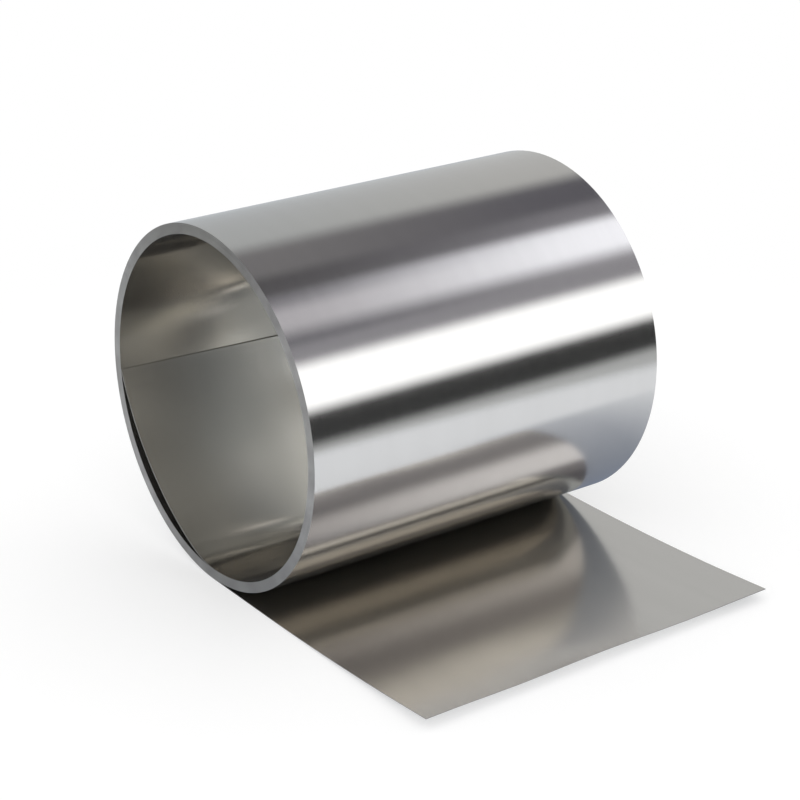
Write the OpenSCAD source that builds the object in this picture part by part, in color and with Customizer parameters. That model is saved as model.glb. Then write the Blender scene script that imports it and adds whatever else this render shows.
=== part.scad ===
// Stainless steel foil roll.
// One strip of thin foil is wound into a hollow coil that lies on its side, with its
// axis along X. The outer end runs out along the floor towards -Y. The inner end
// has sprung off the turns and leans on the back of the bore.
// The origin is on the floor, at the middle of the roll's footprint.

/* [Foil] */
// Width of the strip, which is the length of the coil
foil_w = 100; // [20:1:300]
// Thickness of the foil
foil_t = 0.2; // [0.1:0.05:0.3]
// Bevel of the strip's slit edges, which leaves the grooves between the turns' edges
edge_bevel = 0.05; // [0.01:0.01:0.05]

/* [Coil] */
// Outer diameter of the coil
coil_d = 88.5; // [76:0.5:130]
// Number of full turns that lie tight on each other
turns = 13; // [4:1:20]

/* [Outer end] */
// How far the free outer edge lies in front of the coil's axis
tail_l = 85; // [40:1:200]
// Length of the stretch that the coil's weight presses flat on the floor
tail_flat_l = 18; // [8:1:35]
// Radius of the slight upward bow that the winding has left in the rest
tail_bow_r = 920; // [500:10:3000]

/* [Inner end] */
// Angle of the inner edge above the bottom of the coil, at the back and at the near end
inner_edge_a = 85.5; // [70:0.5:100]
// How far out of square the inner edge is cut, so that its far end is the lower one
inner_edge_skew_a = 1.7; // [0:0.1:3]
// Radius of the tight bend that lifts the inner end off the turns
inner_bend_r = 23.5; // [18:0.5:30]
// Sweep of that bend
inner_bend_a = 27; // [18:1:32]
// Clearance between the inner edge and the turn that it leans on
inner_edge_gap = 0.1; // [0.05:0.05:0.5]

/* [Hidden] */

steel = [0.72, 0.72, 0.73];
// Sides of a full circle where the coil and the flatter arcs are drawn
coil_fn = 240;
flat_fn = 1440;

// The winding is drawn as half turns about two centres, which lie half a foil
// thickness apart, one above the other. The half turns at the back have the lower
// centre and those in front the upper one, so that each full turn ends one thickness
// above where it began. Angles are taken from the bottom of the coil towards its back.
back_r = coil_d / 2;
front_r = back_r - foil_t / 2;
back_c = [0, back_r];
front_c = [0, back_r + foil_t / 2];
bore_r = back_r - turns * foil_t;

// The loose inner end: a tight bend, then a wide arc whose radius brings its outer face
// to the clearance from the turns at the inner edge.
bend_c = [0, turns * foil_t + inner_bend_r];
bend_dir = from_bottom(inner_bend_a);
bend_end = bend_c + inner_bend_r * bend_dir;
inner_edge = back_c + (bore_r - inner_edge_gap) * from_bottom(inner_edge_a);
span = inner_edge - bend_end;
lean_r = -(span * span) / (2 * span * bend_dir);
lean_c = bend_end - lean_r * bend_dir;
lean_end_a = atan2(inner_edge[0] - lean_c[0], lean_c[1] - inner_edge[1]);
// Angle between the points along these two arcs
lean_step_a = 3;
// Extra length that the skewed cut takes off
spare_l = 2;

// The bowed stretch of the outer end
bow_a = asin((tail_l - tail_flat_l) / tail_bow_r);

function from_bottom(a) = [sin(a), -cos(a)];
// Direction of travel along an arc at that angle
function along(a) = [cos(a), sin(a)];
// Points along an arc, with its last point and without its first
function arc(centre, r, from_a, to_a) =
    let (n = ceil(abs(to_a - from_a) / lean_step_a))
    [for (i = [1 : n]) centre + r * from_bottom(from_a + (to_a - from_a) * i / n)];

// Turns the winding's own plane, with its Y up, to stand across the coil's axis, and
// brings the roll's footprint to the origin.
module lay_down() {
    translate([-foil_w / 2, (tail_l - back_r) / 2, 0])
        rotate([90, 0, 90])
            children();
}

// Revolves a section about a centre, from one angle to another.
module wind(centre, from_a, to_a, sides = coil_fn) {
    translate([centre[0], centre[1], 0])
        rotate_extrude(start = from_a - 90, angle = to_a - from_a, $fn = sides)
            children();
}

// Cut across the strip, with layers of it side by side. The outermost has its outer face
// at r, and each has both edges bevelled on both sides.
module strip_section(r, layers = 1) {
    near = [for (k = [0 : layers]) let (face = r - k * foil_t) each [
        if (k > 0) [face + edge_bevel, 0],
        [face, edge_bevel],
        if (k < layers) [face - edge_bevel, 0]
    ]];
    far = [for (i = [len(near) - 1 : -1 : 0]) [near[i][0], foil_w - near[i][1]]];
    polygon(concat(near, far));
}

// The tight turns
module coil() {
    wind(back_c, 0, 180)
        strip_section(back_r, turns);
    wind(front_c, 180, 360)
        strip_section(front_r, turns);
}

// The free outer end on the floor
module outer_end() {
    translate([-tail_flat_l, 0, 0])
        rotate([90, 0, 90])
            linear_extrude(tail_flat_l)
                strip_section(foil_t);
    wind([-tail_flat_l, tail_bow_r], 0, -bow_a, flat_fn)
        strip_section(tail_bow_r);
}

// The loose inner end in the bore. It is drawn a little too long, and what lies beyond
// the skewed inner edge is cut off.
module inner_end() {
    function face(depth) = concat(
        [bend_c - [0, inner_bend_r - depth]],
        arc(bend_c, inner_bend_r - depth, 0, inner_bend_a),
        arc(lean_c, lean_r - depth, inner_bend_a, lean_end_a),
        [lean_c + (lean_r - depth) * from_bottom(lean_end_a) + spare_l * along(lean_end_a)]);
    outer = face(0);
    inner = face(foil_t);
    difference() {
        linear_extrude(foil_w)
            polygon(concat(outer, [for (i = [len(inner) - 1 : -1 : 0]) inner[i]]));
        translate([inner_edge[0], inner_edge[1], 0])
            rotate([0, 0, lean_end_a])
                rotate([0, -inner_edge_skew_a, 0])
                    translate([0, -coil_d / 2, -coil_d / 2])
                        cube([coil_d, coil_d, foil_w + coil_d]);
    }
}

module foil_roll() {
    color(steel)
        lay_down() {
            coil();
            outer_end();
            inner_end();
        }
}

foil_roll();
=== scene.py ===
import math

import bmesh
import bpy
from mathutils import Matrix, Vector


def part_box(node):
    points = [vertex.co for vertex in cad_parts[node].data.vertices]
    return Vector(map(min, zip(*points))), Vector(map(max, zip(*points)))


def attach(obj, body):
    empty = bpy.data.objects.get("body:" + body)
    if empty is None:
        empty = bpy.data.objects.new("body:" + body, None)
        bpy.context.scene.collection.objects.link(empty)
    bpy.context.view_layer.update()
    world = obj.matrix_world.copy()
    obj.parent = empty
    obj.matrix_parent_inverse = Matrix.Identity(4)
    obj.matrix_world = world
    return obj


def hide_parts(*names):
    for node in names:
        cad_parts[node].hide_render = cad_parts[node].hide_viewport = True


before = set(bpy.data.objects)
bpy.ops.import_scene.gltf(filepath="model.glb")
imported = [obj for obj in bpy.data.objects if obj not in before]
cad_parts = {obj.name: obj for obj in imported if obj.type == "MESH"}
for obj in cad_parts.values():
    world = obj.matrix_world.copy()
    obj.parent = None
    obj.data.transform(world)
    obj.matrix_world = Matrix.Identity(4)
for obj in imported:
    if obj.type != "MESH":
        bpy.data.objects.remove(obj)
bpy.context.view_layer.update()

bl_info = {
    "name": "Foil Roll",
    "version": (1, 0, 0),
    "blender": (4, 5, 0),
    "location": "3D View > Sidebar > Foil Roll",
    "description": "Winds a roll of stainless steel foil and sets up the studio around it",
    "category": "Add Mesh",
}

MM = 0.001
# Places that are closer together than this count as one
SAME_PLACE = 0.01 * MM
# Vertices that are closer together than this are merged
MERGED = 0.001 * MM
LOW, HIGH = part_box("foil_roll")
BOX_X = HIGH[0] - LOW[0]
BOX_Y = HIGH[1] - LOW[1]
BOX_Z = HIGH[2] - LOW[2]


def linear(hex_colour):
    """Turns an sRGB hex colour to linear RGB."""
    def channel(text):
        value = int(text, 16) / 255
        return value / 12.92 if value <= 0.04045 else ((value + 0.055) / 1.055) ** 2.4
    return tuple(channel(hex_colour[i:i + 2]) for i in (1, 3, 5))


def length(name, description, default, low=0.0):
    """A length property, in metres."""
    return bpy.props.FloatProperty(
        name=name, description=description, default=default, min=low,
        unit="LENGTH", subtype="DISTANCE", precision=5)


def angle(name, description, degrees):
    """An angle property, given in degrees."""
    return bpy.props.FloatProperty(
        name=name, description=description, default=math.radians(degrees),
        unit="ROTATION", subtype="ANGLE")


def colour(name, description, hex_colour):
    """A colour property, given as an sRGB hex value."""
    return bpy.props.FloatVectorProperty(
        name=name, description=description, default=linear(hex_colour),
        size=3, min=0, max=1, subtype="COLOR")


class FoilSizes(bpy.types.PropertyGroup):
    foil_w: length("Foil width", "Width of the strip, along the coil's axis", BOX_X)
    foil_t: length("Foil thickness", "Distance from one turn to the next", 0.2 * MM)
    air: length("Air between turns", "Hairline of air that is left between two turns", 0.012 * MM)
    burr: length("Edge bevel", "Bevel of the slit edges", 0.05 * MM)
    coil_d: length("Coil diameter", "Outer diameter of the coil", BOX_Z)
    turns: bpy.props.IntProperty(
        name="Turns", description="Full turns that lie tight on each other", default=13, min=1)
    tail_l: length("Outer end", "How far the free outer edge lies in front of the axis",
                   BOX_Y - BOX_Z / 2)
    tail_flat_l: length("Flat stretch", "Stretch of the outer end under the coil's weight", 18 * MM)
    tail_bow_r: length("Bow radius", "Radius of the upward bow in the outer end", 920 * MM)
    inner_edge_a: angle("Inner edge", "Angle of the inner edge above the coil's bottom", 85.5)
    inner_edge_skew_a: angle("Inner edge skew", "How far out of square the inner edge is", 1.7)
    inner_bend_r: length("Inner bend", "Radius of the bend that lifts the inner end", 23.5 * MM)
    inner_bend_a: angle("Inner bend sweep", "Sweep of the bend that lifts the inner end", 27)
    inner_edge_gap: length("Inner gap", "Gap between the inner edge and the turn behind", 0.02 * MM)
    dressed: bpy.props.FloatProperty(
        name="Dressed edge", description="Share of the thickness left at the inner edge",
        default=0.6, min=0, max=1)
    wander: length("Edge wander", "How far the slit edges wander from turn to turn", 0.06 * MM)
    wander_l: length("Wander length", "Stretch of foil over which the wander changes", 60 * MM)
    wave: length("Free edge wave", "Height of the slight waves in the free outer edge", 0.2 * MM)
    wave_l: length("Wave reach", "How far such a wave reaches over the foil", 24 * MM)


class FoilFinish(bpy.types.PropertyGroup):
    steel: colour("Rolled face", "Colour of the bright rolled face", "#D3CFC8")
    steel_deep: colour("Rolled face, darker", "Darker tone of the rolled face's streaks", "#CECAC3")
    slit: colour("Slit edge", "Colour of the sheared edges", "#AEABA4")
    slit_deep: colour("Slit edge, darker", "Torn part of the sheared edges", "#8C8985")
    haze: bpy.props.FloatProperty(
        name="Haze", description="Share of the light that the face scatters widely", default=0.08,
        min=0, max=1)
    line_pitch: length("Rolling line pitch", "Distance between the rolling lines", 0.5 * MM)
    line_l: length("Rolling line length", "Length of a rolling line", 40 * MM)
    streak_l: length("Streak length", "Length of the soft streaks", 166.7 * MM)
    streak_w: length("Streak width", "Width of the soft streaks", 4 * MM)
    buckle_l: length("Buckle length", "Length of the sheet's shallow buckles", 33.33 * MM)
    buckle_w: length("Buckle width", "Width of the sheet's shallow buckles", 45.45 * MM)
    grit: length("Grit", "Size of the slit edge's grit", 0.1111 * MM)
    torn_l: length("Torn patches", "Size of the patches where the edge is torn", 5.556 * MM)


class Studio(bpy.types.PropertyGroup):
    floor_gap: length("Floor gap", "How far the floor lies under the roll", 0.01 * MM)
    floor_r: length("Floor radius", "Radius at which the paper floor has faded out", 240 * MM)
    fade_from: bpy.props.FloatProperty(
        name="Fade from", description="Share of that radius where the floor starts to fade",
        default=0.66, min=0, max=1)
    floor: colour("Floor", "Colour of the paper floor", "#CECECE")
    floor_in_metal: colour("Floor in the metal", "Colour that the metal sees", "#CED3DC")
    # Painted shade: only the metal sees the paper beside the roll's ends darkened to this colour,
    # over these reaches
    painted_floor_shade: colour("Floor in shade", "Colour beside the roll's ends", "#5F6879")
    painted_shade_w: length("Shade width", "How far that shade reaches beside the roll", 60 * MM)
    painted_shade_front: length("Shade in front", "How far it reaches in front of the roll", 10 * MM)
    painted_shade_back: length("Shade behind", "How far it reaches behind the roll", 40 * MM)
    floor_lift: bpy.props.FloatProperty(
        name="Floor lift", description="Light that lifts the paper to white", default=0.7)
    # The card glows: its colour and strength paint the shade and highlights that the bore reflects
    card_gap: length("Card gap", "From the roll's far end to the grey card", 3 * MM)
    card: colour("Card", "Colour of the grey card", "#3E4246")
    card_glow: bpy.props.FloatProperty(
        name="Card strength", description="Brightness of the grey card", default=4.0)
    surround_r: length("Surround radius", "Distance of lamps and cloth from the roll", 380 * MM)
    surround_l: length("Surround length", "How far the lamps and cloth reach along X", 6000 * MM)
    lamp_strength: bpy.props.FloatProperty(
        name="Lamp strength", description="Brightness of the lamps and cloth", default=2.0)
    lamp_dim_x: length("Dim end", "Distance off the middle of the lamps' dim ends", 168 * MM)
    lamp_bright_x: length("Bright end", "Distance off the middle of their bright ends", 305 * MM)
    lens: bpy.props.FloatProperty(
        name="Lens", description="Focal length in millimetres on a 36 mm wide sensor",
        default=98.13, min=1)
    azimuth: angle("Camera azimuth", "Turn of the camera from looking along +Y", -36.064)
    elevation: angle("Camera elevation", "Height of the camera's view above level", 22.725)
    distance: length("Camera distance", "From the coil's middle to the camera", 534.2 * MM)
    aim_right: length("Aim right", "Camera's shift to its right", 4.17 * MM, -1)
    aim_up: length("Aim up", "Camera's shift upwards in its view", -8.98 * MM, -1)


# Mesh and node helpers


def deselect_all():
    bpy.ops.object.select_all(action="DESELECT")


def select(obj, kind, wanted):
    """In edit mode, selects the vertices, edges or faces that answer to wanted."""
    bpy.ops.mesh.select_mode(type=kind)
    bpy.ops.mesh.select_all(action="DESELECT")
    mesh = bmesh.from_edit_mesh(obj.data)
    for part in {"VERT": mesh.verts, "EDGE": mesh.edges, "FACE": mesh.faces}[kind]:
        part.select_set(wanted(part))
    bmesh.update_edit_mesh(obj.data)


def wind(centre, sweep, steps):
    """Spins what is selected about an axis along X, whose centre has that Y and Z."""
    bpy.ops.mesh.spin(
        steps=steps, angle=sweep, center=(0, *centre), axis=(-1, 0, 0), use_auto_merge=False)


def finish(obj, name, modifier, **settings):
    """Adds a modifier with its settings and applies it."""
    added = obj.modifiers.new(name, modifier)
    for key, value in settings.items():
        setattr(added, key, value)
    bpy.ops.object.modifier_apply(modifier=name)


def add_node(tree, kind, inputs=None, **settings):
    """Adds a node, gives it its settings, and sets or links its inputs."""
    node = tree.nodes.new(kind)
    for key, value in settings.items():
        setattr(node, key, value)
    for key, value in (inputs or {}).items():
        if isinstance(value, bpy.types.NodeSocket):
            tree.links.new(value, node.inputs[key])
        else:
            node.inputs[key].default_value = value
    return node


def set_stops(ramp, stops):
    """Gives a colour ramp its stops, from pairs of position and sRGB hex colour."""
    elements = ramp.color_ramp.elements
    while len(elements) < len(stops):
        elements.new(0.5)
    for element, (position, hex_colour) in zip(elements, stops):
        element.position = position
        element.color = (*linear(hex_colour), 1)


def new_material(name):
    material = bpy.data.materials.new(name)
    material.use_nodes = True
    material.node_tree.nodes.clear()
    return material


# Materials


def cold_rolled_steel(finish_set):
    """Bright cold-rolled austenitic stainless steel foil.

    The polished rolls leave very fine lines along the strip, so a reflection stays sharp
    along the strip and smears across it. The steel itself is slightly warm.
    """
    material = new_material("cold_rolled_stainless_steel")
    tree = material.node_tree
    coords = add_node(tree, "ShaderNodeTexCoord")
    # Real rolling lines are some hundredths of a millimetre apart, too fine to show
    lines_at = add_node(tree, "ShaderNodeMapping", {
        "Vector": coords.outputs["UV"],
        "Scale": (1 / finish_set.line_l, 1 / finish_set.line_pitch, 1)})
    lines = add_node(tree, "ShaderNodeTexNoise", {
        "Vector": lines_at.outputs[0], "Scale": 1.0, "Detail": 3.0, "Roughness": 0.6})
    # Soft streaks along the strip
    streaks_at = add_node(tree, "ShaderNodeMapping", {
        "Vector": coords.outputs["UV"],
        "Scale": (1 / finish_set.streak_l, 1 / finish_set.streak_w, 1)})
    streaks = add_node(tree, "ShaderNodeTexNoise", {
        "Vector": streaks_at.outputs[0], "Scale": 1.0, "Detail": 2.0})
    # The sheet is never quite flat: buckles of a few centimetres
    buckles_at = add_node(tree, "ShaderNodeMapping", {
        "Vector": coords.outputs["UV"],
        "Scale": (1 / finish_set.buckle_l, 1 / finish_set.buckle_w, 1)})
    buckles = add_node(tree, "ShaderNodeTexNoise", {
        "Vector": buckles_at.outputs[0], "Scale": 1.0, "Detail": 1.0})
    tint = add_node(tree, "ShaderNodeMix", {
        0: streaks.outputs["Fac"], 6: (*finish_set.steel, 1), 7: (*finish_set.steel_deep, 1)},
        data_type="RGBA")
    rough = add_node(tree, "ShaderNodeMapRange", {
        "Value": lines.outputs["Fac"],
        "From Min": 0.3, "From Max": 0.7, "To Min": 0.115, "To Max": 0.155})
    buckle_bump = add_node(tree, "ShaderNodeBump", {
        "Height": buckles.outputs["Fac"], "Strength": 1.0, "Distance": 0.02 * MM})
    line_bump = add_node(tree, "ShaderNodeBump", {
        "Height": lines.outputs["Fac"], "Strength": 0.5, "Distance": 0.004 * MM,
        "Normal": buckle_bump.outputs[0]})
    # A quarter turn of the tangent makes the reflections smear across the rolling lines
    along = add_node(tree, "ShaderNodeTangent", direction_type="UV_MAP", uv_map="UVMap")
    mirror = add_node(tree, "ShaderNodeBsdfPrincipled", {
        "Base Color": tint.outputs[2],
        "Metallic": 1.0,
        "Roughness": rough.outputs[0],
        "Anisotropic": 0.5,
        "Anisotropic Rotation": 0.25,
        "Tangent": along.outputs[0],
        "Normal": line_bump.outputs[0]})
    # Pits of the pickling that the rolls haven't closed scatter a little light widely
    haze = add_node(tree, "ShaderNodeBsdfPrincipled", {
        "Base Color": tint.outputs[2],
        "Metallic": 1.0,
        "Roughness": 0.5,
        "Normal": line_bump.outputs[0]})
    face = add_node(tree, "ShaderNodeMixShader", {
        0: finish_set.haze, 1: mirror.outputs[0], 2: haze.outputs[0]})
    add_node(tree, "ShaderNodeOutputMaterial", {"Surface": face.outputs[0]})
    return material


def slit_edge_steel(finish_set):
    """Edge of the foil as the slitting knives leave it.

    A narrow burnished band and a torn one, both too fine to tell apart here, so the edge
    looks like matt, darker steel with a fine grit.
    """
    material = new_material("slit_stainless_steel_edge")
    tree = material.node_tree
    coords = add_node(tree, "ShaderNodeTexCoord")
    grit = add_node(tree, "ShaderNodeTexNoise", {
        "Vector": coords.outputs["Object"], "Scale": 1 / finish_set.grit, "Detail": 2.0})
    # Patches where the torn band is wider
    patches = add_node(tree, "ShaderNodeTexNoise", {
        "Vector": coords.outputs["Object"], "Scale": 1 / finish_set.torn_l, "Detail": 2.0})
    tint = add_node(tree, "ShaderNodeMix", {
        0: patches.outputs["Fac"], 6: (*finish_set.slit, 1), 7: (*finish_set.slit_deep, 1)},
        data_type="RGBA")
    rough = add_node(tree, "ShaderNodeMapRange", {
        "Value": patches.outputs["Fac"],
        "From Min": 0.3, "From Max": 0.7, "To Min": 0.38, "To Max": 0.5})
    bump = add_node(tree, "ShaderNodeBump", {
        "Height": grit.outputs["Fac"], "Strength": 0.4, "Distance": 0.01 * MM})
    shader = add_node(tree, "ShaderNodeBsdfPrincipled", {
        "Base Color": tint.outputs[2],
        "Metallic": 1.0,
        "Roughness": rough.outputs[0],
        "Normal": bump.outputs[0]})
    add_node(tree, "ShaderNodeOutputMaterial", {"Surface": shader.outputs[0]})
    return material


# The painted shade beside the roll's ends, which only the metal sees, in shares of the way over
# the floor from the shade's left end to its right end, and from its front to its back
PAINTED_SHADE_BESIDE = (
    (0.0, "#000000"), (0.12, "#909090"), (0.27, "#B0B0B0"), (0.3, "#000000"),
    (0.64, "#000000"), (0.7, "#FFFFFF"), (0.8, "#FFFFFF"), (1.0, "#000000"))
PAINTED_SHADE_BEHIND = (
    (0.0, "#000000"), (0.05, "#B8B8B8"), (0.5, "#FFFFFF"), (0.55, "#FFFFFF"),
    (0.72, "#000000"))


def paper_floor(studio):
    """White background paper: matt, fading out into the white surroundings, with painted shade in
    the metal.
    """
    material = new_material("white_background_paper")
    tree = material.node_tree
    coords = add_node(tree, "ShaderNodeTexCoord")
    reach = add_node(tree, "ShaderNodeVectorMath", {0: coords.outputs["Object"]},
                     operation="LENGTH")
    fade = add_node(tree, "ShaderNodeMapRange", {
        "Value": reach.outputs["Value"],
        "From Min": studio.floor_r * studio.fade_from, "From Max": studio.floor_r},
        interpolation_type="SMOOTHSTEP")
    ray = add_node(tree, "ShaderNodeLightPath")
    # Painted shade: in the metal alone, the paper beside the roll's two ends is darkened
    parts = add_node(tree, "ShaderNodeSeparateXYZ", {0: coords.outputs["Object"]})
    painted_shade_x = BOX_X / 2 + studio.painted_shade_w
    over_x = add_node(tree, "ShaderNodeMapRange", {
        "Value": parts.outputs["X"], "From Min": -painted_shade_x, "From Max": painted_shade_x})
    over_y = add_node(tree, "ShaderNodeMapRange", {
        "Value": parts.outputs["Y"], "From Min": LOW[1] - studio.painted_shade_front,
        "From Max": HIGH[1] + studio.painted_shade_back})
    beside = add_node(tree, "ShaderNodeValToRGB", {0: over_x.outputs[0]})
    set_stops(beside, PAINTED_SHADE_BESIDE)
    behind = add_node(tree, "ShaderNodeValToRGB", {0: over_y.outputs[0]})
    set_stops(behind, PAINTED_SHADE_BEHIND)
    shade = add_node(tree, "ShaderNodeMath", {
        0: beside.outputs[0], 1: behind.outputs[0]}, operation="MULTIPLY")
    shade = add_node(tree, "ShaderNodeMath", {
        0: shade.outputs[0], 1: ray.outputs["Is Glossy Ray"]}, operation="MULTIPLY")
    tone = add_node(tree, "ShaderNodeMix", {
        0: ray.outputs["Is Glossy Ray"], 6: (*studio.floor, 1), 7: (*studio.floor_in_metal, 1)},
        data_type="RGBA")
    tone = add_node(tree, "ShaderNodeMix", {
        0: shade.outputs[0], 6: tone.outputs[2], 7: (*studio.painted_floor_shade, 1)}, data_type="RGBA")
    paper = add_node(tree, "ShaderNodeBsdfDiffuse", {"Color": tone.outputs[2]})
    # The view and the metal see the paper lifted to white, with the shadow still on it
    seen = add_node(tree, "ShaderNodeMath", {
        0: ray.outputs["Is Camera Ray"], 1: ray.outputs["Is Glossy Ray"]}, operation="MAXIMUM")
    seen = add_node(tree, "ShaderNodeMath", {
        0: seen.outputs[0], 1: ray.outputs["Is Transmission Ray"]}, operation="MAXIMUM")
    lift = add_node(tree, "ShaderNodeMath", {0: seen.outputs[0], 1: studio.floor_lift},
                    operation="MULTIPLY")
    white = add_node(tree, "ShaderNodeEmission", {
        "Color": tone.outputs[2], "Strength": lift.outputs[0]})
    lit = add_node(tree, "ShaderNodeAddShader", {0: paper.outputs[0], 1: white.outputs[0]})
    clear = add_node(tree, "ShaderNodeBsdfTransparent")
    mix = add_node(tree, "ShaderNodeMixShader", {
        0: fade.outputs[0], 1: lit.outputs[0], 2: clear.outputs[0]})
    add_node(tree, "ShaderNodeOutputMaterial", {"Surface": mix.outputs[0]})
    return material


# The studio's bands around the roll. Each has the angles above level at which it starts and
# ends, seen from the roll's axis towards -Y, its tone at the lamps' dim inner ends, and its
# tone at their bright outer ends. Between two bands the tone changes evenly.
BANDS = (
    # What lies below the floor, and the foot of the wall in front
    (-180, -12, "#94989C", "#94989C"),
    # Dark gap under the front lamp
    (-6, 7, "#000000", "#000000"),
    # Front lamp
    (14, 33, "#F4F8FF", "#F4F8FF"),
    # Grey gap above it, and the edge of the cloth overhead
    (40, 46, "#707078", "#707078"),
    (50, 51, "#505058", "#787880"),
    # Cloth overhead, lit from its bright end, with an oblique far edge
    (60, 68, "#9898A0", "#E0E4F0"),
    (75, 76, "#686870", "#E0E4F0"),
    # Beam and ceiling
    (83, 90, "#404044", "#686870"),
    (97, 113, "#606064", "#484850"),
    # Pale wall behind
    (124, 180, "#909498", "#989A9C"),
)


def studio_surround(studio):
    """Lamp cloth, pale cloth and the dark gaps between them, in bands along the roll."""
    material = new_material("studio_surround_cloth")
    tree = material.node_tree
    coords = add_node(tree, "ShaderNodeTexCoord")
    parts = add_node(tree, "ShaderNodeSeparateXYZ", {0: coords.outputs["Object"]})
    front = add_node(tree, "ShaderNodeMath", {0: parts.outputs["Y"], 1: -1.0},
                     operation="MULTIPLY")
    turn = add_node(tree, "ShaderNodeMath", {0: parts.outputs["Z"], 1: front.outputs[0]},
                    operation="ARCTAN2")
    share = add_node(tree, "ShaderNodeMapRange", {
        "Value": turn.outputs[0], "From Min": -math.pi, "From Max": math.pi})
    off_middle = add_node(tree, "ShaderNodeMath", {0: parts.outputs["X"]},
                          operation="ABSOLUTE")
    outwards = add_node(tree, "ShaderNodeMapRange", {
        "Value": off_middle.outputs[0],
        "From Min": studio.lamp_dim_x, "From Max": studio.lamp_bright_x})
    dim = add_node(tree, "ShaderNodeValToRGB", {0: share.outputs[0]})
    bright = add_node(tree, "ShaderNodeValToRGB", {0: share.outputs[0]})
    dim_stops = []
    bright_stops = []
    for *ends, dim_tone, bright_tone in BANDS:
        for end in ends:
            position = (end + 180) / 360
            dim_stops.append((position, dim_tone))
            bright_stops.append((position, bright_tone))
    set_stops(dim, dim_stops)
    set_stops(bright, bright_stops)
    tone = add_node(tree, "ShaderNodeMix", {
        0: outwards.outputs[0], 6: dim.outputs[0], 7: bright.outputs[0]}, data_type="RGBA")
    glow = add_node(tree, "ShaderNodeEmission", {
        "Color": tone.outputs[2], "Strength": studio.lamp_strength})
    add_node(tree, "ShaderNodeOutputMaterial", {"Surface": glow.outputs[0]})
    return material


# Painted highlights and painted shade, as soft glowing patches on the card behind the far opening:
# place in Y and Z, half width and half height in millimetres, lean in degrees, and colour. Each
# fades out from the first to the second of the two shares of its half size.
PATCH_FADE = (0.4, 1.2)
PAINTED_CARD_PATCHES = (
    (14, 20, 14, 30, 0, "#606569"),
    (0, 30, 10, 40, 0, "#6B6F73"),
    (12, 80, 36, 10, 0, "#24262A"),
    (36, 48, 8, 24, 45, "#878B8F"),
    (8, 36, 4, 26, 0, "#7E8286"),
    (12, 57, 5, 9, 0, "#A3A8AD"),
    (16, 65, 30, 5, 0, "#9FA2A2"),
    (45, 53, 5, 12, 31, "#A8AEB5"),
    (-20, 46, 3, 14, 0, "#858B90"),
    (-20, 37, 4, 8, 0, "#FFFFFF"),
    (-9, 67, 4, 4, 0, "#D8DCE0"),
)


def card_behind(studio):
    """Glowing card close behind the far opening, whose painted shade and highlights give the bore
    its soft streaks.
    """
    material = new_material("glowing_card")
    tree = material.node_tree
    coords = add_node(tree, "ShaderNodeTexCoord")
    tone = (*studio.card, 1)
    for y, z, half_w, half_h, lean, hex_colour in PAINTED_CARD_PATCHES:
        place = add_node(tree, "ShaderNodeMapping", {
            "Vector": coords.outputs["Object"], "Location": (0, y * MM, z * MM),
            "Rotation": (math.radians(lean), 0, 0), "Scale": (1, half_w * MM, half_h * MM)},
            vector_type="TEXTURE")
        off = add_node(tree, "ShaderNodeVectorMath", {0: place.outputs[0]}, operation="LENGTH")
        share = add_node(tree, "ShaderNodeMapRange", {
            "Value": off.outputs["Value"],
            "From Min": PATCH_FADE[1], "From Max": PATCH_FADE[0]},
            interpolation_type="SMOOTHSTEP")
        tone = add_node(tree, "ShaderNodeMix", {
            0: share.outputs[0], 6: tone, 7: (*linear(hex_colour), 1)},
            data_type="RGBA").outputs[2]
    glow = add_node(tree, "ShaderNodeEmission", {
        "Color": tone, "Strength": studio.card_glow})
    # Only light that meets the bore at least twice comes from the card, so that the slit edges
    # don't see it: the ray depth has to be past halfway between one and two
    ray = add_node(tree, "ShaderNodeLightPath")
    deep = add_node(tree, "ShaderNodeMath", {0: ray.outputs["Ray Depth"], 1: 1.5},
                    operation="GREATER_THAN")
    clear = add_node(tree, "ShaderNodeBsdfTransparent")
    seen = add_node(tree, "ShaderNodeMixShader", {
        0: deep.outputs[0], 1: clear.outputs[0], 2: glow.outputs[0]})
    add_node(tree, "ShaderNodeOutputMaterial", {"Surface": seen.outputs[0]})
    return material


# Operators


# Faces across the strip and along its flat stretch
COLUMNS = 12
FLAT_ROWS = 4
# Steps in which the strip's arcs are spun
HALF_TURN_STEPS = 64
BEND_STEPS = 12
LEAN_STEPS = 28
BOW_STEPS = 20
# Waves of the free outer edge: the line of vertices that each lifts, and its share of the
# wave's height
EDGE_WAVES = ((1, 0.6), (3, -0.9), (6, 0.9), (9, -1.0), (12, 0.6))


def axis_y(sizes):
    """Place of the coil's axis in Y, with the roll's footprint about the origin."""
    return (sizes.tail_l - sizes.coil_d / 2) / 2


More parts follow.
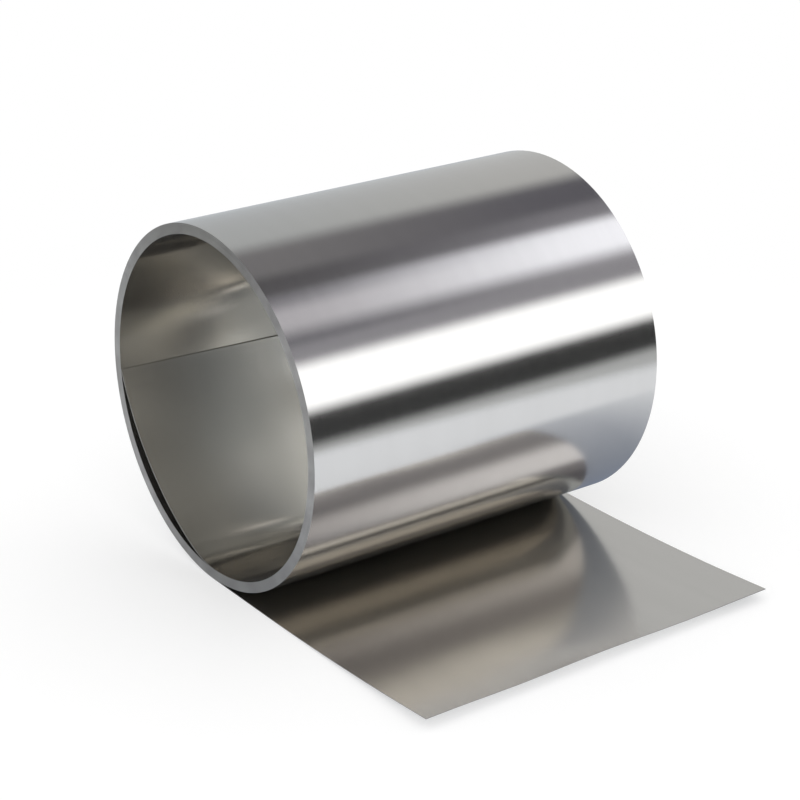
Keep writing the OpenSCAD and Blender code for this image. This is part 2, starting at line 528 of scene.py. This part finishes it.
class LooseEnd:
    """The loose inner end: a tight bend off the turns, then a wide arc back up to them."""

    def __init__(self, sizes):
        bend = sizes.inner_bend_a
        back_r = sizes.coil_d / 2
        coil_y = axis_y(sizes)
        self.bore_r = back_r - sizes.turns * sizes.foil_t
        self.bend_at = (coil_y, sizes.turns * sizes.foil_t + sizes.inner_bend_r)
        self.bend_end = (self.bend_at[0] + sizes.inner_bend_r * math.sin(bend),
                         self.bend_at[1] - sizes.inner_bend_r * math.cos(bend))
        reach = self.bore_r - sizes.inner_edge_gap
        self.edge = (coil_y + reach * math.sin(sizes.inner_edge_a),
                     back_r - reach * math.cos(sizes.inner_edge_a))
        span = (self.edge[0] - self.bend_end[0], self.edge[1] - self.bend_end[1])
        across = span[0] * math.sin(bend) - span[1] * math.cos(bend)
        self.lean_r = -(span[0] ** 2 + span[1] ** 2) / (2 * across)
        self.lean_at = (self.bend_end[0] - self.lean_r * math.sin(bend),
                        self.bend_end[1] + self.lean_r * math.cos(bend))
        self.lean_end = math.atan2(
            self.edge[0] - self.lean_at[0], self.lean_at[1] - self.edge[1])
        # The edge is cut a little out of square
        skew = sizes.inner_edge_skew_a
        self.cut_at = (-sizes.foil_w / 2, *self.edge)
        self.cut_out = (math.sin(skew), math.cos(self.lean_end) * math.cos(skew),
                        math.sin(self.lean_end) * math.cos(skew))

    def off_cut(self, place):
        """Distance of a place from the plane of the cut."""
        return abs(sum((c - p) * n for c, p, n in zip(place, self.cut_at, self.cut_out)))


class FOILROLL_OT_wind_strip(bpy.types.Operator):
    """Wind the strip of foil from its outer end to its loose inner end"""
    bl_idname = "foilroll.wind_strip"
    bl_label = "Wind the Strip"
    bl_options = {"REGISTER", "UNDO"}

    def execute(self, context):
        s = context.scene.foil_sizes
        finish_set = context.scene.foil_finish
        loose = LooseEnd(s)

        deselect_all()
        bpy.ops.mesh.primitive_grid_add(
            x_subdivisions=COLUMNS, y_subdivisions=FLAT_ROWS, size=1)
        strip = context.object
        strip.name = "foil_strip"
        strip.data.name = "foil_strip"
        bpy.ops.object.mode_set(mode="EDIT")
        bpy.ops.mesh.select_all(action="SELECT")
        bpy.ops.transform.resize(value=(s.foil_w, s.tail_flat_l, 1))
        bpy.ops.transform.translate(
            value=(0, axis_y(s) - s.tail_flat_l / 2, s.foil_t / 2))
        self.wind_inwards(strip, s, loose)
        self.bow_outer_end(strip, s)
        self.map_unrolled(strip)
        self.cut_inner_edge(strip, s, loose)
        self.wave_outer_edge(strip, s)
        bpy.ops.mesh.select_all(action="SELECT")
        bpy.ops.mesh.remove_doubles(threshold=MERGED)
        bpy.ops.mesh.normals_make_consistent(inside=False)
        bpy.ops.object.mode_set(mode="OBJECT")

        strip.data.materials.append(cold_rolled_steel(finish_set))
        strip.data.materials.append(slit_edge_steel(finish_set))
        self.wander_slit_edges(strip, s)
        self.thicken(strip, s, loose)
        self.polish_inner_edge(strip, s, loose)
        bpy.ops.object.shade_smooth_by_angle(angle=math.radians(30))
        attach(strip, "root")
        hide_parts("foil_roll")
        return {"FINISHED"}

    @staticmethod
    def wind_inwards(strip, s, loose):
        """Winds the tight turns, as half turns about two centres, and the loose end."""
        back_r = s.coil_d / 2
        coil_y = axis_y(s)
        select(strip, "EDGE", lambda edge: all(
            abs(v.co.y - coil_y) < SAME_PLACE for v in edge.verts))
        for turn in range(s.turns):
            wind((coil_y, back_r), math.pi, HALF_TURN_STEPS)
            wind((coil_y, back_r + s.foil_t / 2), math.pi, HALF_TURN_STEPS)
        wind(loose.bend_at, s.inner_bend_a, BEND_STEPS)
        # A little too long, for the cut
        spare = 1 * MM / loose.lean_r
        wind(loose.lean_at, loose.lean_end - s.inner_bend_a + spare, LEAN_STEPS)

    @staticmethod
    def bow_outer_end(strip, s):
        """Adds the rest of the outer end, bowed slightly upwards."""
        flat_y = axis_y(s) - s.tail_flat_l
        bow = math.asin((s.tail_l - s.tail_flat_l) / s.tail_bow_r)
        select(strip, "EDGE", lambda edge: all(
            abs(v.co.y - flat_y) < SAME_PLACE and v.co.z < s.foil_t for v in edge.verts))
        wind((flat_y, s.tail_bow_r), -bow, BOW_STEPS)

    @staticmethod
    def map_unrolled(strip):
        """Maps the strip unrolled, its length along U and its width along V, in metres."""
        bpy.ops.mesh.select_mode(type="FACE")
        bpy.ops.mesh.select_all(action="SELECT")
        mesh = bmesh.from_edit_mesh(strip.data)
        uv = mesh.loops.layers.uv.verify()
        mesh.faces.ensure_lookup_table()
        first = mesh.faces[0]
        for loop in first.loops:
            loop[uv].uv = (loop.vert.co.y, loop.vert.co.x)
        for face in mesh.faces:
            for loop in face.loops:
                loop[uv].select = True
        mesh.faces.active = first
        bmesh.update_edit_mesh(strip.data)
        bpy.ops.uv.follow_active_quads(mode="LENGTH_AVERAGE")

    @staticmethod
    def cut_inner_edge(strip, s, loose):
        """Cuts the loose end to its length."""
        coil_y = axis_y(s)

        def is_loose(face):
            place = face.calc_center_median()
            off_axis = math.hypot(place.y - coil_y, place.z - s.coil_d / 2)
            return place.y > coil_y + 1 * MM and off_axis < loose.bore_r

        select(strip, "FACE", is_loose)
        bpy.ops.mesh.bisect(
            plane_co=loose.cut_at, plane_no=loose.cut_out, clear_outer=True, threshold=MERGED)

    @staticmethod
    def wave_outer_edge(strip, s):
        """The free outer edge has sprung into slight waves."""
        front_y = axis_y(s) - s.tail_l
        for column, lift in EDGE_WAVES:
            wave_x = s.foil_w * (column / COLUMNS - 0.5)
            select(strip, "VERT", lambda v: (
                abs(v.co.y - front_y) < SAME_PLACE and v.co.z < 10 * MM
                and abs(v.co.x - wave_x) < SAME_PLACE))
            bpy.ops.transform.translate(
                value=(0, 0, lift * s.wave), use_proportional_edit=True,
                proportional_edit_falloff="SMOOTH", proportional_size=s.wave_l)

    @staticmethod
    def wander_slit_edges(strip, s):
        """From turn to turn the slit edges stand back a little by different amounts."""
        unevenness = bpy.data.textures.new("edge_wander", "CLOUDS")
        unevenness.noise_scale = s.wander_l
        for name, side in (("near_edge", -1), ("far_edge", 1)):
            group = strip.vertex_groups.new(name=name)
            group.add([v.index for v in strip.data.vertices
                       if abs(v.co.x - side * s.foil_w / 2) < SAME_PLACE], 1.0, "REPLACE")
            finish(strip, name, "DISPLACE", texture=unevenness, texture_coords="UV",
                   direction="X", mid_level=0, strength=-side * s.wander, vertex_group=name)
        strip.vertex_groups.clear()

    @staticmethod
    def thicken(strip, s, loose):
        """Gives the sheet its gauge, thinner at the dressed inner edge, and its bevels."""
        group = strip.vertex_groups.new(name="full_gauge")
        group.add([v.index for v in strip.data.vertices
                   if v.co.y < loose.bend_end[0] or loose.off_cut(v.co) > SAME_PLACE],
                  1.0, "REPLACE")
        finish(strip, "gauge", "SOLIDIFY", thickness=s.foil_t - s.air, offset=0,
               use_even_offset=True, material_offset_rim=1, vertex_group="full_gauge",
               thickness_vertex_group=s.dressed)
        strip.vertex_groups.clear()
        finish(strip, "burr", "BEVEL", width=s.burr, segments=1, limit_method="ANGLE",
               angle_limit=math.radians(60), material=1)

    @staticmethod
    def polish_inner_edge(strip, s, loose):
        """The mill has polished the inner edge, so its faces take the rolled face's material."""
        bpy.ops.object.mode_set(mode="EDIT")
        mesh = bmesh.from_edit_mesh(strip.data)
        for face in mesh.faces:
            place = face.calc_center_median()
            off_ends = s.foil_w / 2 - abs(place.x)
            if place.y > loose.bend_end[0] and off_ends > 1 * MM \
                    and loose.off_cut(place) < s.foil_t / 2:
                face.material_index = 0
        bmesh.update_edit_mesh(strip.data)
        bpy.ops.object.mode_set(mode="OBJECT")


# Sides of the stage's round pieces
ROUND_SIDES = 96
# Width of the camera's sensor, in millimetres
SENSOR_W = 36


class FOILROLL_OT_set_studio(bpy.types.Operator):
    """Set up the floor, the surround, the light and the camera"""
    bl_idname = "foilroll.set_studio"
    bl_label = "Set Up the Studio"
    bl_options = {"REGISTER", "UNDO"}

    def execute(self, context):
        scene = context.scene
        studio = scene.foil_studio
        s = scene.foil_sizes
        middle = (0, axis_y(s), s.coil_d / 2)

        deselect_all()
        bpy.ops.mesh.primitive_circle_add(
            vertices=ROUND_SIDES, radius=studio.floor_r, fill_type="NGON",
            location=(0, 0, -studio.floor_gap))
        floor = context.object
        floor.name = "floor"
        floor.data.materials.append(paper_floor(studio))

        # The surround's origin stays on the coil's axis, because its bands are angles about it
        deselect_all()
        bpy.ops.mesh.primitive_cylinder_add(
            vertices=ROUND_SIDES, radius=studio.surround_r, depth=studio.surround_l,
            end_fill_type="NOTHING", location=middle, rotation=(0, math.pi / 2, 0))
        bpy.ops.object.transform_apply(location=False, rotation=True, scale=False)
        surround = context.object
        surround.name = "surround"
        surround.data.materials.append(studio_surround(studio))
        self.keep_to_the_metal(surround)

        # The glowing card: painted shade and painted highlights that only the bore's reflections
        # see
        deselect_all()
        bpy.ops.mesh.primitive_circle_add(
            vertices=ROUND_SIDES, radius=s.coil_d / 2, fill_type="NGON",
            location=(s.foil_w / 2 + studio.card_gap, *middle[1:]),
            rotation=(0, math.pi / 2, 0))
        bpy.ops.object.transform_apply(location=True, rotation=True, scale=True)
        card = context.object
        card.name = "glowing_card"
        card.data.materials.append(card_behind(studio))
        self.keep_to_the_metal(card)

        world = bpy.data.worlds.new("white_studio")
        world.use_nodes = True
        world.node_tree.nodes.clear()
        sky = add_node(world.node_tree, "ShaderNodeBackground", {
            "Color": (1, 1, 1, 1), "Strength": 1.0})
        add_node(world.node_tree, "ShaderNodeOutputWorld", {"Surface": sky.outputs[0]})
        scene.world = world
        scene.view_settings.view_transform = "Standard"
        self.add_camera(scene, studio, middle)
        return {"FINISHED"}

    @staticmethod
    def keep_to_the_metal(obj):
        """Leaves an object to be seen by reflections alone."""
        obj.visible_camera = False
        obj.visible_diffuse = False
        obj.visible_shadow = False

    @staticmethod
    def add_camera(scene, studio, middle):
        turn = studio.azimuth
        tilt = studio.elevation
        right = (math.cos(turn), math.sin(turn), 0)
        ahead = (-math.sin(turn) * math.cos(tilt), math.cos(turn) * math.cos(tilt),
                 -math.sin(tilt))
        up = (right[1] * ahead[2] - right[2] * ahead[1],
              right[2] * ahead[0] - right[0] * ahead[2],
              right[0] * ahead[1] - right[1] * ahead[0])
        place = [m + r * studio.aim_right + u * studio.aim_up - a * studio.distance
                 for m, r, u, a in zip(middle, right, up, ahead)]
        bpy.ops.object.camera_add(location=place, rotation=(math.pi / 2 - tilt, 0, turn))
        camera = bpy.context.object
        camera.name = "photo_camera"
        camera.data.lens = studio.lens
        camera.data.sensor_width = SENSOR_W
        camera.data.clip_start = 10 * MM
        scene.camera = camera


class FOILROLL_PT_panel(bpy.types.Panel):
    """Sizes, colours and steps of the foil roll"""
    bl_idname = "FOILROLL_PT_panel"
    bl_label = "Foil Roll"
    bl_space_type = "VIEW_3D"
    bl_region_type = "UI"
    bl_category = "Foil Roll"

    def draw(self, context):
        layout = self.layout
        for title, group in (("Foil", context.scene.foil_sizes),
                             ("Finish", context.scene.foil_finish),
                             ("Studio", context.scene.foil_studio)):
            box = layout.box()
            box.label(text=title)
            for name in group.__annotations__:
                box.prop(group, name)
        layout.operator(FOILROLL_OT_wind_strip.bl_idname)
        layout.operator(FOILROLL_OT_set_studio.bl_idname)


CLASSES = (FoilSizes, FoilFinish, Studio, FOILROLL_OT_wind_strip, FOILROLL_OT_set_studio,
           FOILROLL_PT_panel)


def register():
    for cls in CLASSES:
        bpy.utils.register_class(cls)
    bpy.types.Scene.foil_sizes = bpy.props.PointerProperty(type=FoilSizes)
    bpy.types.Scene.foil_finish = bpy.props.PointerProperty(type=FoilFinish)
    bpy.types.Scene.foil_studio = bpy.props.PointerProperty(type=Studio)


def unregister():
    del bpy.types.Scene.foil_studio
    del bpy.types.Scene.foil_finish
    del bpy.types.Scene.foil_sizes
    for cls in reversed(CLASSES):
        bpy.utils.unregister_class(cls)


def main():
    register()
    bpy.ops.foilroll.wind_strip()
    bpy.ops.foilroll.set_studio()


if __name__ == "__main__":
    main()
